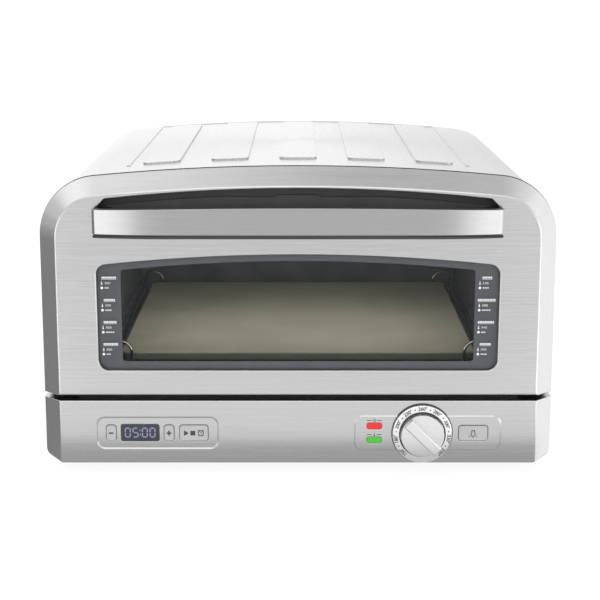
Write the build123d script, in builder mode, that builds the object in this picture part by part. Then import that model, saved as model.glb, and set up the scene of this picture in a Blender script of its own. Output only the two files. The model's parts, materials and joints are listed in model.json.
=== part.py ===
from build123d import *

# Countertop pizza oven: bevelled stainless door over a control base, stone deck inside.
#
# Millimetres, +Z up, origin on the resting plane under the middle of the bounding box.
# The door faces -Y. Left and right are the viewer's, looking at the door.

import os
from math import sqrt

os.makedirs("parts", exist_ok=True)

# ---------------------------------------------------------------- driving dimensions
DEPTH = 428.0  # handle front to rear bumpers
TOP = 273.3  # crown of the arched roof
HALF_WIDTH = 222.5  # at the shoulders
SIDE_LEAN = 2.0  # how much further out each side is at the foot than at the shoulder
SHOULDER_R = 52.0
ARCH_R = 1829.0
SHEET = 1.2  # outer stainless sheet
LINER = 1.0  # oven liner sheet

HANDLE_OUT = 20.0  # handle front ahead of the door face
BEVEL_IN = 15.0  # bevel width seen from the front
BEVEL_DEEP = 14.0
RIM = 1.5  # straight edge behind the bevel

FOOT_H = 11.0
BASE_TOP = 68.7
DOOR_LOW = 73.4

# Planes along the depth, front to back.
Y_HANDLE = -DEPTH / 2
Y_FACE = Y_HANDLE + HANDLE_OUT
Y_SKIN = Y_FACE + SHEET
Y_RIM = Y_FACE + BEVEL_DEEP
Y_DOOR_BACK = Y_RIM + RIM
Y_FRAME = Y_DOOR_BACK + 2.1  # front of the oven-mouth frame
Y_CAVITY = Y_FRAME + SHEET
Y_CAVITY_BACK = 177.0
Y_REAR_PANEL = 206.0
Y_HOUSE_BACK = 208.0
Y_BACK = DEPTH / 2

FRAME_PROUD = 0.4  # its edge shows as a dark line between the door and the housing

# Oven cavity, inside faces.
CAVITY_X = 176.0
CAVITY_LOW = 76.0
CAVITY_HIGH = 226.0
MOUTH_LOW = 86.0

# Stone and its rack.
STONE_X, STONE_Y, STONE_Z = 320.0, 292.5, 8.0
STONE_FRONT = -153.5
WIRE_R = 1.6
BAR_R = 1.2
RACK_Z = 92.6
RACK_X = 168.5
RACK_FRONT = -159.0
RACK_BACK = 146.5
LOOP_R = 10.0
LOOP_X = 159.0
LOOP_SPRING = 102.5
BAR_PITCH = 26.0

# Door window and the recess behind the handle.
WINDOW_X = 173.5
WINDOW_LOW = 96.2
WINDOW_HIGH = 199.0
WINDOW_R = 1580.0
WINDOW_CORNER = 9.0
GLASS = 3.2
RECESS_LOW = 222.0
RECESS_TOP = 256.1
RECESS_X = 164.5
RECESS_LOW_X = 171.0
RECESS_END_RISE = 7.0
RECESS_R = 1506.0
RECESS_Y = Y_FACE + 10.0
NOTCHES = (-116.0, -38.5, 38.5, 116.0)
NOTCH_WIDE, NOTCH_DEEP = 40.0, 1.8

# Handle.
HANDLE_X = 174.2
STEEL_LOW, STEEL_TOP = 219.6, 242.4
LIP_LOW = 216.3
HANDLE_THICK = 10.0
HANDLE_FLAT_X = 110.0  # the bar is straight to here, then its ends sweep back
HANDLE_END_R = 330.0
HANDLE_CORNER_R = 4.5
HANDLE_ARCH = 2.4

# Door hinge.
PIVOT_Y = Y_FACE + 5.5
PIVOT_Z = DOOR_LOW + 2.8
PIN_R = 2.0
RUNNING = 0.08
ARM_X, ARM_THICK = 201.5, 2.4
LEAF_X, LEAF_THICK = 205.3, 2.0

# Controls.
CONTROL_Z = 39.0
DIAL_X = 109.3
MINUS_KEY = (-164.6, 8.2, 13.8)
PLUS_KEY = (-113.7, 8.2, 13.8)
START_KEY = (-91.8, 24.6, 13.8)
LAMP_KEY = (154.3, 25.3, 13.6)
DISPLAY_X, DISPLAY_WIDE, DISPLAY_TALL = -139.2, 33.8, 15.6
LED_X, LED_RISE, LED_WIDE, LED_TALL = 67.2, 6.5, 13.5, 6.0
LEFT_PANEL = (-123.7, 107.4, 29.6)
RIGHT_PANEL = (114.2, 129.0, 32.2)
PANEL_STEP = 0.6
KEY_GAP = 0.45
KEY_OUT = 0.7
KEY_R = 2.4
SWITCH_GAP = 1.5
Y_BOARD = Y_FACE + 12.0
BOARD = 1.6
BEZEL_R, BEZEL_HOLE_R, BEZEL_OUT = 26.3, 20.2, 3.6
KNOB_R, KNOB_FACE_OUT, KNOB_OUT = 18.8, 9.5, 16.5
GRIP_WIDE = 9.5
SHAFT_R = 3.0

# Heaters, lamp and probe.
ELEMENT_R, ELEMENT_END = 3.2, 192.0
ELEMENT_YS = (-115.0, -40.0, 35.0, 110.0)
UPPER_Z, LOWER_Z = 216.0, 81.8
LAMP_Y, LAMP_Z, LAMP_R = 70.0, 175.0, 17.0
BULB_R = 5.0
PROBE_X, PROBE_Z, PROBE_R = -150.0, 205.0, 2.5

# Fasteners.
SCREW_R, SCREW_HOLE_R = 1.9, 2.0
HEAD_R, HEAD_THICK = 3.4, 1.8
THROUGH = 5.0  # how far a cutting tool runs past the sheet it cuts


# ---------------------------------------------------------------- helpers
def front(y):
    """Plane facing -Y at depth y, with local x along X and local y along Z."""
    return Plane.XZ.offset(-y)


def save(builder, name):
    """Labels a finished piece and writes its STEP file."""
    builder.part.label = name
    export_step(builder.part, f"parts/{name}.step")


def slab(x0, x1, y0, y1, z0, z1, mode=Mode.ADD):
    """Box from its low and high corners."""
    with Locations(((x0 + x1) / 2, (y0 + y1) / 2, (z0 + z1) / 2)):
        Box(x1 - x0, y1 - y0, z1 - z0, mode=mode)


def rod_y(x, z, radius, y0, y1, mode=Mode.ADD):
    """Round bar along Y."""
    with Locations((x, (y0 + y1) / 2, z)):
        Cylinder(radius, y1 - y0, rotation=(90, 0, 0), mode=mode)


def rod_x(y, z, radius, x0, x1, mode=Mode.ADD):
    """Round bar along X."""
    with Locations(((x0 + x1) / 2, y, z)):
        Cylinder(radius, x1 - x0, rotation=(0, 90, 0), mode=mode)


def rod_z(x, y, radius, z0, z1, mode=Mode.ADD):
    """Round bar along Z."""
    with Locations((x, y, (z0 + z1) / 2)):
        Cylinder(radius, z1 - z0, mode=mode)


def span(side, near, far):
    """Low and high X of a stretch from near to far on one side of the middle."""
    return sorted((side * near, side * far))


def side_x(z):
    """Half width of the oven at height z."""
    return HALF_WIDTH + SIDE_LEAN * (TOP - z) / (TOP - FOOT_H)


def spring_z(crown, arch_r, half):
    """Height at which an arch of radius arch_r meets its sides."""
    return crown - arch_r + sqrt(arch_r**2 - half**2)


def arch_face(y, half_low, half_high, z_low, z_high, spring, corner_r, low_r=0.0):
    """Flat-bottomed face with an arched top; z_high is the crown of the arch."""
    with BuildSketch(front(y)) as profile:
        with BuildLine():
            Line((-half_low, z_low), (half_low, z_low))
            Line((half_low, z_low), (half_high, spring))
            ThreePointArc((half_high, spring), (0, z_high), (-half_high, spring))
            Line((-half_high, spring), (-half_low, z_low))
        make_face()
        if corner_r:
            fillet(profile.vertices().sort_by(Axis.Y)[2:], corner_r)
        if low_r:
            fillet(profile.vertices().group_by(Axis.Y)[0], low_r)
    return profile.sketch


def oven_face(y, inset, z_low):
    """Outline of the oven seen from the front, taken in by inset on the sides and top."""
    spring = spring_z(TOP - inset, ARCH_R - inset, HALF_WIDTH - inset)
    half_low, half_high = side_x(z_low) - inset, side_x(spring) - inset
    return arch_face(y, half_low, half_high, z_low, TOP - inset, spring, SHOULDER_R - inset)


def base_face(y, inset, low_r, rise=0.0):
    """Outline of the control base, taken in by inset at the sides and rise above and below."""
    low, high = FOOT_H + rise, BASE_TOP - rise
    half_low, half_high = side_x(low) - inset, side_x(high) - inset
    with BuildSketch(front(y)) as profile:
        with BuildLine():
            Polyline((-half_low, low), (half_low, low), (half_high, high), (-half_high, high), close=True)
        make_face()
        fillet(profile.vertices().group_by(Axis.Y)[0], low_r)
    return profile.sketch


def panel_face(y, centre_x, wide, tall, corner_r, centre_z=CONTROL_Z):
    """Rounded rectangle on the control panel."""
    with BuildSketch(front(y)) as profile:
        with Locations((centre_x, centre_z)):
            RectangleRounded(wide, tall, corner_r)
    return profile.sketch


def window_face(y, grow):
    """Outline of the door window, let out by grow."""
    corner = WINDOW_CORNER + grow
    half = WINDOW_X + grow
    high = WINDOW_HIGH + grow
    spring = spring_z(high, WINDOW_R + grow, half)
    return arch_face(y, half, half, WINDOW_LOW - grow, high, spring, corner, corner)


def mouth_face(y, grow):
    """Outline of the oven mouth, let out by grow."""
    height = CAVITY_HIGH - MOUTH_LOW
    with BuildSketch(front(y)) as profile:
        with Locations((0, MOUTH_LOW + height / 2)):
            RectangleRounded(2 * (CAVITY_X + grow), height + 2 * grow, 10 + grow)
    return profile.sketch


def recess_face(y, low, shrink):
    """Outline of the recess behind the handle, with slanted ends; its top comes down by shrink."""
    top = RECESS_TOP - shrink
    spring = spring_z(top, RECESS_R, RECESS_X)
    end_z = spring - RECESS_END_RISE
    with BuildSketch(front(y)) as profile:
        with BuildLine():
            Line((-RECESS_LOW_X, low), (RECESS_LOW_X, low))
            Line((RECESS_LOW_X, low), (RECESS_LOW_X, end_z))
            Line((RECESS_LOW_X, end_z), (RECESS_X, spring))
            ThreePointArc((RECESS_X, spring), (0, top), (-RECESS_X, spring))
            Line((-RECESS_X, spring), (-RECESS_LOW_X, end_z))
            Line((-RECESS_LOW_X, end_z), (-RECESS_LOW_X, low))
        make_face()
        fillet(profile.vertices().group_by(Axis.Y)[-1], 3.0)
    return profile.sketch


# ---------------------------------------------------------------- door: outer skin
BEVEL_EDGE_R = 1.8
WINDOW_EDGE = 0.7
WALL_LEAN = 1.6  # the bevel's sheet, measured across the front
with BuildPart() as door_shell:
    loft([oven_face(Y_FACE, BEVEL_IN, DOOR_LOW).face(), oven_face(Y_RIM, 0, DOOR_LOW).face()], ruled=True)
    extrude(oven_face(Y_RIM, 0, DOOR_LOW), amount=-RIM)
    fillet(door_shell.faces().sort_by(Axis.Y)[0].edges(), BEVEL_EDGE_R)
    inner_low = DOOR_LOW + SHEET
    with BuildPart(mode=Mode.PRIVATE) as door_hollow:
        front_inner = oven_face(Y_SKIN, BEVEL_IN + WALL_LEAN, inner_low)
        back_inner = oven_face(Y_RIM, WALL_LEAN, inner_low)
        loft([front_inner.face(), back_inner.face()], ruled=True)
        extrude(back_inner, amount=-2 * RIM)
    add(door_hollow.part, mode=Mode.SUBTRACT)
    extrude(window_face(Y_FACE - THROUGH, 0), amount=-2 * THROUGH, mode=Mode.SUBTRACT)
    extrude(recess_face(Y_FACE - THROUGH, RECESS_LOW, 0), amount=-2 * THROUGH, mode=Mode.SUBTRACT)
    rim_edges = door_shell.faces().sort_by(Axis.Y)[0].inner_wires().edges()
    chamfer(rim_edges, WINDOW_EDGE)
    for side in (-1, 1):
        # Notch round the hinge pin, where the fixed arm passes as the door drops.
        notch = span(side, ARM_X - 4.6, ARM_X + 6.6)
        slab(*notch, Y_SKIN + 0.2, Y_DOOR_BACK + 1, DOOR_LOW - 1, DOOR_LOW + 3, Mode.SUBTRACT)
save(door_shell, "door_shell")

# ---------------------------------------------------------------- door: inner sheet
LINER_OPEN_X, LINER_OPEN_LOW, LINER_OPEN_HIGH = 161.0, 98.0, 198.0
with BuildPart() as door_liner:
    extrude(oven_face(Y_RIM, WALL_LEAN + 0.3, DOOR_LOW + SHEET + 0.1), amount=-LINER)
    opening = (-LINER_OPEN_X, LINER_OPEN_X, Y_RIM - THROUGH, Y_RIM + THROUGH)
    slab(*opening, LINER_OPEN_LOW, LINER_OPEN_HIGH, Mode.SUBTRACT)
    fillet(door_liner.edges().filter_by(Axis.Y).group_by(SortBy.DISTANCE)[0], 8)
    for side in (-1, 1):
        arm_slot = span(side, ARM_X - 3, ARM_X + 3)
        slab(*arm_slot, Y_RIM - THROUGH, Y_RIM + THROUGH, DOOR_LOW, PIVOT_Z + 6, Mode.SUBTRACT)
save(door_liner, "door_liner")

# ---------------------------------------------------------------- door: glasses
GLASS_LAP = 5.0  # how far each glass reaches behind its opening
with BuildPart() as door_window:
    extrude(window_face(Y_SKIN, GLASS_LAP), amount=-GLASS)
    fillet(door_window.faces().sort_by(Axis.Y)[0].edges(), 0.5)
save(door_window, "door_window")

INNER_GLASS_X = LINER_OPEN_X + 6
INNER_GLASS_LOW, INNER_GLASS_HIGH = LINER_OPEN_LOW - GLASS_LAP, LINER_OPEN_HIGH + GLASS_LAP
with BuildPart() as door_inner_glass:
    slab(-INNER_GLASS_X, INNER_GLASS_X, Y_RIM - GLASS, Y_RIM, INNER_GLASS_LOW, INNER_GLASS_HIGH)
    fillet(door_inner_glass.edges().filter_by(Axis.Y), 6)
save(door_inner_glass, "door_inner_glass")

CLIP_XS, CLIP_HALF, CLIP_SHEET = (-110, 0, 110), 6.0, 0.8
with BuildPart() as window_clips:
    for x in CLIP_XS:
        for z, reach in ((INNER_GLASS_LOW, -1), (INNER_GLASS_HIGH, 1)):
            hook = sorted((z + reach * 7, z - reach * 3))
            foot = sorted((z + reach * 7, z + reach * 0.2))
            slab(x - CLIP_HALF, x + CLIP_HALF, Y_RIM - GLASS - CLIP_SHEET, Y_RIM - GLASS, *hook)
            slab(x - CLIP_HALF, x + CLIP_HALF, Y_RIM - GLASS, Y_RIM, *foot)
save(window_clips, "window_clips")

GASKET_IN, GASKET_OUT, GASKET_THICK = 3.0, 7.0, 1.8
with BuildPart() as door_gasket:
    extrude(mouth_face(Y_RIM + LINER, GASKET_OUT), amount=-GASKET_THICK)
    extrude(mouth_face(Y_RIM - THROUGH, GASKET_IN), amount=-3 * THROUGH, mode=Mode.SUBTRACT)
save(door_gasket, "door_gasket")

# ---------------------------------------------------------------- door: recess and handle
POCKET_SHRINK = 7.0  # the pocket's back wall stops this far under the recess's top
POCKET_SIDE_TOP = 241.0
POST_X, POST_Z, POST_HALF, POST_TALL = 165.5, 231.5, 5.25, 15.0
with BuildPart() as handle_pocket:
    extrude(recess_face(RECESS_Y, RECESS_LOW - SHEET, POCKET_SHRINK), amount=-SHEET)
    for x in NOTCHES:
        notch = (x - NOTCH_WIDE / 2, x + NOTCH_WIDE / 2, RECESS_Y - THROUGH, RECESS_Y + THROUGH)
        slab(*notch, RECESS_TOP - POCKET_SHRINK - NOTCH_DEEP, RECESS_TOP, Mode.SUBTRACT)
    slab(-RECESS_LOW_X, RECESS_LOW_X, Y_SKIN, RECESS_Y, RECESS_LOW - SHEET, RECESS_LOW)
    for side in (-1, 1):
        wall = span(side, RECESS_LOW_X, RECESS_LOW_X + SHEET)
        slab(*wall, Y_SKIN, RECESS_Y + SHEET, RECESS_LOW - SHEET, POCKET_SIDE_TOP)
        hole = (RECESS_Y - THROUGH, RECESS_Y + THROUGH)
        rod_y(side * POST_X, POST_Z, SCREW_HOLE_R, *hole, Mode.SUBTRACT)
save(handle_pocket, "handle_pocket")


def handle_bar(shrink, low, high):
    """The whole bar, taken in by shrink: ends swept back, outer corners round, top slightly arched."""
    half, y_out, y_in = HANDLE_X - shrink, Y_HANDLE + shrink, Y_HANDLE + HANDLE_THICK
    sweep_y = (HANDLE_X - HANDLE_FLAT_X) ** 2 / (2 * HANDLE_END_R)
    with BuildPart() as bar:
        with BuildSketch(Plane.XY) as plan:
            with BuildLine():
                Line((-HANDLE_FLAT_X, y_out), (HANDLE_FLAT_X, y_out))
                TangentArc((HANDLE_FLAT_X, y_out), (half, y_out + sweep_y), tangent=(1, 0))
                Polyline((half, y_out + sweep_y), (half, y_in + sweep_y), (HANDLE_FLAT_X, y_in))
                Line((HANDLE_FLAT_X, y_in), (-HANDLE_FLAT_X, y_in))
                Polyline((-HANDLE_FLAT_X, y_in), (-half, y_in + sweep_y), (-half, y_out + sweep_y))
                TangentArc((-HANDLE_FLAT_X, y_out), (-half, y_out + sweep_y), tangent=(-1, 0))
            make_face()
            outer_corners = plan.vertices().group_by(Axis.X)
            ends = [outer_corners[0].sort_by(Axis.Y)[0], outer_corners[-1].sort_by(Axis.Y)[0]]
            fillet(ends, HANDLE_CORNER_R - shrink)
        extrude(amount=300)
        outline = arch_face(Y_HANDLE - 5, HANDLE_X + 9, HANDLE_X + 9, low, high, high - HANDLE_ARCH, 0)
        extrude(outline, amount=-40, mode=Mode.INTERSECT)
    return bar.part


STEEL_THICK = 1.4
with BuildPart() as handle_skin:
    add(handle_bar(0, STEEL_LOW, STEEL_TOP))
    add(handle_bar(STEEL_THICK, STEEL_LOW - THROUGH, STEEL_TOP + THROUGH), mode=Mode.SUBTRACT)
save(handle_skin, "handle_skin")

LIP_SHRINK = 0.3  # the lip and the top of the core stand this far inside the steel
POST_SCREW = 11.0
with BuildPart() as handle_core:
    add(handle_bar(STEEL_THICK, LIP_LOW, STEEL_TOP - LIP_SHRINK))
    add(handle_bar(LIP_SHRINK, LIP_LOW, STEEL_LOW))
    for side in (-1, 1):
        post = span(side, POST_X - POST_HALF, POST_X + POST_HALF)
        low, high = POST_Z - POST_TALL / 2, POST_Z + POST_TALL / 2
        slab(*post, Y_HANDLE + HANDLE_THICK + 3, RECESS_Y, low, high)
        hole = (RECESS_Y - POST_SCREW - 1, RECESS_Y + 1)
        rod_y(side * POST_X, POST_Z, SCREW_HOLE_R, *hole, Mode.SUBTRACT)
save(handle_core, "handle_core")

with BuildPart() as handle_screws:
    head_y = RECESS_Y + SHEET
    for side in (-1, 1):
        rod_y(side * POST_X, POST_Z, SCREW_R, RECESS_Y - POST_SCREW, head_y)
        rod_y(side * POST_X, POST_Z, HEAD_R, head_y, head_y + HEAD_THICK)
save(handle_screws, "handle_screws")

# ---------------------------------------------------------------- door: hinge
LEAF_HIGH = 104.0
LEAF_FOOT = 7.0
PIN_END, PIN_HEAD = ARM_X - 2.4, 1.0
with BuildPart() as hinge_leaves:
    for side in (-1, 1):
        plate = span(side, LEAF_X, LEAF_X + LEAF_THICK)
        slab(*plate, Y_SKIN + 1, Y_RIM, DOOR_LOW + SHEET + 0.2, LEAF_HIGH)
        foot = span(side, LEAF_X + LEAF_THICK, LEAF_X + LEAF_THICK + LEAF_FOOT)
        slab(*foot, Y_RIM - LEAF_THICK, Y_RIM, DOOR_LOW + 8, LEAF_HIGH)
        rod_x(PIVOT_Y, PIVOT_Z, PIN_R, plate[0] - 1, plate[1] + 1, Mode.SUBTRACT)
save(hinge_leaves, "hinge_leaves")

with BuildPart() as hinge_pins:
    for side in (-1, 1):
        rod_x(PIVOT_Y, PIVOT_Z, PIN_R, *span(side, PIN_END, LEAF_X + LEAF_THICK))
        rod_x(PIVOT_Y, PIVOT_Z, PIN_R + 1.2, *span(side, PIN_END - PIN_HEAD, PIN_END))
save(hinge_pins, "hinge_pins")

EYE_R, ARM_LOW = 3.6, 2.6  # the arm's round end, and how far the arm hangs below the pivot
BRACKET_LONG, BRACKET_TOP, BRACKET_FOOT_LOW = 24.0, 112.0, 90.0
with BuildPart() as hinge_brackets:
    for side in (-1, 1):
        arm = span(side, ARM_X - ARM_THICK / 2, ARM_X + ARM_THICK / 2)
        slab(*arm, PIVOT_Y, Y_CAVITY, PIVOT_Z - ARM_LOW, PIVOT_Z + EYE_R)
        rod_x(PIVOT_Y, PIVOT_Z, EYE_R, *arm)
        slab(*arm, Y_CAVITY, Y_CAVITY + BRACKET_LONG, PIVOT_Z - ARM_LOW, BRACKET_TOP)
        foot = span(side, ARM_X + ARM_THICK / 2, ARM_X + 12)
        slab(*foot, Y_CAVITY, Y_CAVITY + ARM_THICK, BRACKET_FOOT_LOW, BRACKET_TOP)
        rod_x(PIVOT_Y, PIVOT_Z, PIN_R + RUNNING, arm[0] - 1, arm[1] + 1, Mode.SUBTRACT)
save(hinge_brackets, "hinge_brackets")

# ---------------------------------------------------------------- housing
HOUSE_INSET = 1.5  # the housing sits just inside the door's outline
REAR_FLANGE = 14.0
RIB_WIDE, RIB_PITCH, RIB_COUNT, RIB_CORNER = 33.4, 61.3, 5, 7.0
RIB_FRONT, RIB_BACK = -120.0, 187.0
RIB_HEIGHT, BEAD_HEIGHT = 1.5, 0.7
BEAD_X, BEAD_WIDE, BEAD_LONG, BEAD_Y, REAR_BEAD_Y = 152.0, 3.2, 318.0, 37.0, 201.0
ROOF_LOW = 190.0


def roof_band(height):
    """A skin on the roof, height thick, to be trimmed to the plan of a pressed rib or bead."""
    with BuildPart(mode=Mode.PRIVATE) as band:
        extrude(oven_face(Y_CAVITY, HOUSE_INSET - height, ROOF_LOW), amount=-(Y_HOUSE_BACK - Y_CAVITY))
        cut = oven_face(Y_CAVITY - THROUGH, HOUSE_INSET + SHEET / 2, ROOF_LOW - THROUGH)
        extrude(cut, amount=-DEPTH, mode=Mode.SUBTRACT)
    return band.part


with BuildPart() as housing_wrap:
    extrude(oven_face(Y_CAVITY, HOUSE_INSET, DOOR_LOW), amount=-(Y_HOUSE_BACK - Y_CAVITY))
    inside = oven_face(Y_CAVITY - THROUGH, HOUSE_INSET + SHEET, DOOR_LOW - THROUGH)
    extrude(inside, amount=-DEPTH, mode=Mode.SUBTRACT)
    # Rear flange that the back panel screws to.
    extrude(oven_face(Y_REAR_PANEL - SHEET, HOUSE_INSET + SHEET, DOOR_LOW), amount=-SHEET)
    flange_hole = oven_face(Y_REAR_PANEL - THROUGH, HOUSE_INSET + REAR_FLANGE, DOOR_LOW - THROUGH)
    extrude(flange_hole, amount=-2 * THROUGH, mode=Mode.SUBTRACT)
    with BuildPart(mode=Mode.PRIVATE) as ribs:
        add(roof_band(RIB_HEIGHT))
        with BuildSketch(Plane.XY.offset(ROOF_LOW)) as rib_plan:
            with Locations((0, (RIB_FRONT + RIB_BACK) / 2)):
                with GridLocations(RIB_PITCH, 1, RIB_COUNT, 1):
                    RectangleRounded(RIB_WIDE, RIB_BACK - RIB_FRONT, RIB_CORNER)
        extrude(rib_plan.sketch, amount=TOP, mode=Mode.INTERSECT)
    add(ribs.part)
    with BuildPart(mode=Mode.PRIVATE) as beads:
        add(roof_band(BEAD_HEIGHT))
        with BuildSketch(Plane.XY.offset(ROOF_LOW)) as bead_plan:
            with Locations((-BEAD_X, BEAD_Y), (BEAD_X, BEAD_Y)):
                SlotOverall(BEAD_LONG, BEAD_WIDE, rotation=90)
            with Locations((0, REAR_BEAD_Y)):
                SlotOverall(2 * BEAD_X - 4, BEAD_WIDE)
        extrude(bead_plan.sketch, amount=TOP, mode=Mode.INTERSECT)
    add(beads.part)
save(housing_wrap, "housing_wrap")

REAR_SCREWS = [(side * x, z) for side in (-1, 1) for x, z in ((214.0, 95.0), (213.5, 185.0), (120.0, 259.0))]
BUMPERS = [(side * x, z) for side in (-1, 1) for x, z in ((185.0, 100.0), (165.0, 232.0))]
BUMPER_R = 7.5
VENT_PITCH_X, VENT_PITCH_Z, VENT_COLUMNS, VENT_LONG, VENT_WIDE = 22.0, 12.0, 12, 16.0, 4.0
VENT_ROWS = ((200.0, 3), (112.0, 2))
with BuildPart() as rear_panel:
    extrude(oven_face(Y_REAR_PANEL, HOUSE_INSET + SHEET + 0.2, DOOR_LOW + 0.2), amount=-SHEET)
    with BuildSketch(front(Y_REAR_PANEL - THROUGH)) as rear_vents:
        for z, rows in VENT_ROWS:
            with Locations((0, z)):
                with GridLocations(VENT_PITCH_X, VENT_PITCH_Z, VENT_COLUMNS, rows):
                    SlotOverall(VENT_LONG, VENT_WIDE)
    extrude(rear_vents.sketch, amount=-2 * THROUGH, mode=Mode.SUBTRACT)
    for x, z in REAR_SCREWS:
        rod_y(x, z, SCREW_HOLE_R, Y_REAR_PANEL - THROUGH, Y_REAR_PANEL + THROUGH, Mode.SUBTRACT)
save(rear_panel, "rear_panel")

with BuildPart() as rear_screws:
    for x, z in REAR_SCREWS:
        rod_y(x, z, HEAD_R, Y_REAR_PANEL + SHEET, Y_REAR_PANEL + SHEET + HEAD_THICK)
        rod_y(x, z, SCREW_R, Y_REAR_PANEL, Y_REAR_PANEL + SHEET)
save(rear_screws, "rear_screws")

with BuildPart() as rear_bumpers:
    for x, z in BUMPERS:
        rod_y(x, z, BUMPER_R, Y_REAR_PANEL + SHEET, Y_BACK)
    fillet(rear_bumpers.faces().sort_by(Axis.Y)[-len(BUMPERS):].edges(), 1.5)
save(rear_bumpers, "rear_bumpers")

with BuildPart() as front_frame:
    extrude(oven_face(Y_FRAME, -FRAME_PROUD, DOOR_LOW), amount=-SHEET)
    extrude(mouth_face(Y_FRAME - THROUGH, 0), amount=-2 * THROUGH, mode=Mode.SUBTRACT)
    for side in (-1, 1):
        arm_slot = span(side, ARM_X - 2, ARM_X + 2)
        slab(*arm_slot, Y_FRAME - 1, Y_CAVITY + 1, DOOR_LOW - 1, PIVOT_Z + EYE_R + 0.8, Mode.SUBTRACT)
save(front_frame, "front_frame")

# ---------------------------------------------------------------- oven cavity
CAVITY_CORNER = 10.0
with BuildPart() as cavity_liner:
    outer = (-CAVITY_X - LINER, CAVITY_X + LINER, Y_CAVITY, Y_CAVITY_BACK + LINER)
    slab(*outer, CAVITY_LOW - LINER, CAVITY_HIGH + LINER)
    fillet(cavity_liner.edges().filter_by(Axis.Y), CAVITY_CORNER + LINER)
    with BuildPart(mode=Mode.PRIVATE) as cavity_room:
        slab(-CAVITY_X, CAVITY_X, Y_CAVITY - THROUGH, Y_CAVITY_BACK, CAVITY_LOW, CAVITY_HIGH)
        fillet(cavity_room.edges().filter_by(Axis.Y), CAVITY_CORNER)
    add(cavity_room.part, mode=Mode.SUBTRACT)
    for y in ELEMENT_YS:
        for z in (UPPER_Z, LOWER_Z):
            rod_x(y, z, ELEMENT_R + 0.3, -ELEMENT_END, ELEMENT_END, Mode.SUBTRACT)
    rod_x(LAMP_Y, LAMP_Z, LAMP_R - 2, CAVITY_X - 2, CAVITY_X + 3, Mode.SUBTRACT)
    rod_y(PROBE_X, PROBE_Z, PROBE_R + 0.3, Y_CAVITY_BACK - THROUGH, Y_CAVITY_BACK + THROUGH, Mode.SUBTRACT)
save(cavity_liner, "cavity_liner")

WOOL = 12.0
WOOL_BACK = 170.0
WOOL_ROOM_X, WOOL_ROOM_HIGH = CAVITY_X + LINER + 0.2, CAVITY_HIGH + LINER + 0.2
with BuildPart() as insulation:
    slab(-CAVITY_X - WOOL, CAVITY_X + WOOL, Y_CAVITY + 1, WOOL_BACK, CAVITY_LOW, CAVITY_HIGH + WOOL)
    fillet(insulation.edges().filter_by(Axis.Y).group_by(Axis.Z)[-1], CAVITY_CORNER + 4)
    room = (-WOOL_ROOM_X, WOOL_ROOM_X, Y_CAVITY - THROUGH, WOOL_BACK + THROUGH)
    slab(*room, CAVITY_LOW - THROUGH, WOOL_ROOM_HIGH, Mode.SUBTRACT)
    for y in ELEMENT_YS:
        for z in (UPPER_Z, LOWER_Z):
            rod_x(y, z, ELEMENT_R + 5, -ELEMENT_END, ELEMENT_END, Mode.SUBTRACT)
    rod_x(LAMP_Y, LAMP_Z, LAMP_R + 6, CAVITY_X, CAVITY_X + 20, Mode.SUBTRACT)
save(insulation, "insulation")

for name, z in (("upper_elements", UPPER_Z), ("lower_elements", LOWER_Z)):
    with BuildPart() as elements:
        for y in ELEMENT_YS:
            rod_x(y, z, ELEMENT_R, -ELEMENT_END, ELEMENT_END)
    save(elements, name)

HANGER_X, HANGER_HALF_X, HANGER_HALF_Y = 60.0, 5.0, 6.0
with BuildPart() as element_hangers:
    for y in ELEMENT_YS:
        for x in (-HANGER_X, HANGER_X):
            plan = (x - HANGER_HALF_X, x + HANGER_HALF_X, y - HANGER_HALF_Y, y + HANGER_HALF_Y)
            slab(*plan, UPPER_Z + ELEMENT_R + 0.2, CAVITY_HIGH)
            slab(*plan, CAVITY_LOW, LOWER_Z - ELEMENT_R)
save(element_hangers, "element_hangers")

TERMINAL_X, TERMINAL_Y, TERMINAL_Z = 10.0, 14.0, 10.0
with BuildPart() as terminal_blocks:
    for y in ELEMENT_YS:
        for z in (UPPER_Z, LOWER_Z):
            for side in (-1, 1):
                with Locations((side * (ELEMENT_END + TERMINAL_X / 2), y, z)):
                    Box(TERMINAL_X, TERMINAL_Y, TERMINAL_Z)
save(terminal_blocks, "terminal_blocks")

GUIDE_TOP = RACK_Z - WIRE_R - 0.35
GUIDE_BACK = 160.0
KEEPER_LOW = 98.0
with BuildPart() as rack_guides:
    for side in (-1, 1):
        ledge = span(side, CAVITY_X - 12, CAVITY_X)
        wall = span(side, CAVITY_X - SHEET, CAVITY_X)
        keeper = span(side, CAVITY_X - 3.5, CAVITY_X)
        slab(*ledge, Y_CAVITY + 4, GUIDE_BACK, GUIDE_TOP - SHEET, GUIDE_TOP)
        slab(*wall, Y_CAVITY + 4, GUIDE_BACK, GUIDE_TOP, KEEPER_LOW)
        slab(*keeper, Y_CAVITY + 4, GUIDE_BACK, KEEPER_LOW, KEEPER_LOW + SHEET)
save(rack_guides, "rack_guides")

with BuildPart() as lamp_lens:
    rod_x(LAMP_Y, LAMP_Z, LAMP_R, CAVITY_X - 2.5, CAVITY_X)
    fillet(lamp_lens.faces().sort_by(Axis.X)[0].edges(), 1.8)
save(lamp_lens, "lamp_lens")

BULB_FRONT, BULB_BACK, SOCKET_FLOOR = CAVITY_X + 5, CAVITY_X + 24, CAVITY_X + 22
with BuildPart() as lamp_bulb:
    rod_x(LAMP_Y, LAMP_Z, BULB_R, BULB_FRONT, BULB_BACK)
    fillet(lamp_bulb.faces().sort_by(Axis.X)[0].edges(), BULB_R - 0.5)
save(lamp_bulb, "lamp_bulb")

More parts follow.
